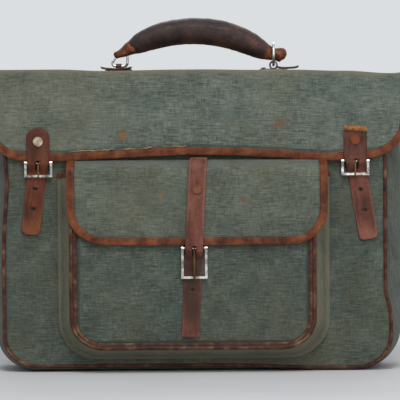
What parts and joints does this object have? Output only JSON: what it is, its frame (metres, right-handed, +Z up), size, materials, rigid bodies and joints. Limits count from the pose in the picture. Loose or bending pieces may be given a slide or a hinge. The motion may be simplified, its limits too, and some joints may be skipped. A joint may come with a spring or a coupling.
{
  "type": "mail satchel",
  "caption": "Soft canvas mail bag bound in leather, with a full flap, a flapped front pocket, buckled straps and a padded handle on rings.",
  "frame": {"origin": "on the floor under the middle of the bag", "axes": "+Z up, -Y the front with the pocket, +X along the bag"},
  "size_m": [0.424, 0.1399, 0.354],
  "materials": {
    "canvas": "worn green-grey woven canvas",
    "binding_leather": "worn brown leather edge",
    "strap_leather": "red-brown strap leather, rubbed",
    "dark_leather": "dark polished leather",
    "board": "plain fibre board",
    "steel": "worn nickelled steel",
    "brass": "dull worn rivets"
  },
  "bodies": {
    "bag": {"front_panel": "canvas", "back_panel": "canvas", "gusset": "canvas", "front_piping": "binding_leather", "back_piping": "binding_leather", "mouth_hem": "binding_leather", "base_board": "board", "pocket_front": "canvas", "pocket_gusset": "canvas", "pocket_piping": "binding_leather", "pocket_hem": "binding_leather", "pocket_flap_root": "canvas", "chape_left": "strap_leather", "chape_right": "strap_leather", "chape_center": "strap_leather", "buckle_pin_left": "steel", "buckle_pin_right": "steel", "buckle_pin_center": "steel", "chape_rivets": "brass"},
    "flap_top": {"flap_top": "canvas", "flap_top_binding": "binding_leather", "top_board": "board", "ring_clip_left": "dark_leather", "ring_eye_right": "steel", "tab_rivets": "brass"},
    "flap_front": {"flap_front": "canvas", "flap_front_binding": "binding_leather", "strap_head_left": "strap_leather", "strap_head_right": "strap_leather", "strap_rivet_left": "brass", "strap_rivet_right": "brass"},
    "handle": {"handle_grip": "dark_leather", "handle_end_left": "strap_leather", "handle_end_right": "strap_leather", "ring_left": "steel", "ring_right": "steel"},
    "pocket_flap": {"pocket_flap": "canvas", "pocket_flap_binding": "binding_leather", "strap_head_center": "strap_leather", "strap_rivet_center": "brass"},
    "strap_left": {"strap_tail_left": "strap_leather"},
    "buckle_left": {"buckle_frame_left": "steel"},
    "prong_left": {"buckle_prong_left": "steel"},
    "strap_right": {"strap_tail_right": "strap_leather"},
    "buckle_right": {"buckle_frame_right": "steel"},
    "prong_right": {"buckle_prong_right": "steel"},
    "strap_center": {"strap_tail_center": "strap_leather"},
    "buckle_center": {"buckle_frame_center": "steel"},
    "prong_center": {"buckle_prong_center": "steel"}
  },
  "joints": [
    {"name": "flap_top_hinge", "type": "hinge", "parent": "bag", "child": "flap_top", "pos_m": [0, 0.052, 0.3], "axis": [-1, 0, 0], "range_deg": [0, 120]},
    {"name": "flap_front_fold", "type": "hinge", "parent": "flap_top", "child": "flap_front", "pos_m": [0, -0.0519, 0.302], "axis": [-1, 0, 0], "range_deg": [0, 150]},
    {"name": "handle_tilt", "type": "hinge", "parent": "flap_top", "child": "handle", "pos_m": [0, 0, 0.3065], "axis": [-1, 0, 0], "range_deg": [-35, 35]},
    {"name": "pocket_flap_hinge", "type": "hinge", "parent": "bag", "child": "pocket_flap", "pos_m": [0, -0.0799, 0.2048], "axis": [-1, 0, 0], "range_deg": [0, 150]},
    {"name": "strap_left_bend", "type": "hinge", "parent": "flap_front", "child": "strap_left", "pos_m": [-0.1585, -0.0575, 0.213], "axis": [-1, 0, 0], "range_deg": [0, 100], "deforming": ["strap_tail_left"]},
    {"name": "strap_right_bend", "type": "hinge", "parent": "flap_front", "child": "strap_right", "pos_m": [0.1585, -0.0575, 0.213], "axis": [-1, 0, 0], "range_deg": [0, 100], "deforming": ["strap_tail_right"]},
    {"name": "strap_center_bend", "type": "hinge", "parent": "pocket_flap", "child": "strap_center", "pos_m": [-0.003, -0.0855, 0.128], "axis": [-1, 0, 0], "range_deg": [0, 100], "deforming": ["strap_tail_center"]},
    {"name": "buckle_left_swing", "type": "hinge", "parent": "bag", "child": "buckle_left", "pos_m": [-0.1585, -0.054, 0.21], "axis": [-1, 0, 0], "range_deg": [0, 75]},
    {"name": "prong_left_swing", "type": "hinge", "parent": "buckle_left", "child": "prong_left", "pos_m": [-0.1585, -0.054, 0.21], "axis": [-1, 0, 0], "range_deg": [0, 60]},
    {"name": "buckle_right_swing", "type": "hinge", "parent": "bag", "child": "buckle_right", "pos_m": [0.1585, -0.054, 0.21], "axis": [-1, 0, 0], "range_deg": [0, 75]},
    {"name": "prong_right_swing", "type": "hinge", "parent": "buckle_right", "child": "prong_right", "pos_m": [0.1585, -0.054, 0.21], "axis": [-1, 0, 0], "range_deg": [0, 60]},
    {"name": "buckle_center_swing", "type": "hinge", "parent": "bag", "child": "buckle_center", "pos_m": [-0.003, -0.082, 0.125], "axis": [-1, 0, 0], "range_deg": [0, 75]},
    {"name": "prong_center_swing", "type": "hinge", "parent": "buckle_center", "child": "prong_center", "pos_m": [-0.003, -0.082, 0.125], "axis": [-1, 0, 0], "range_deg": [0, 60]}
  ]
}
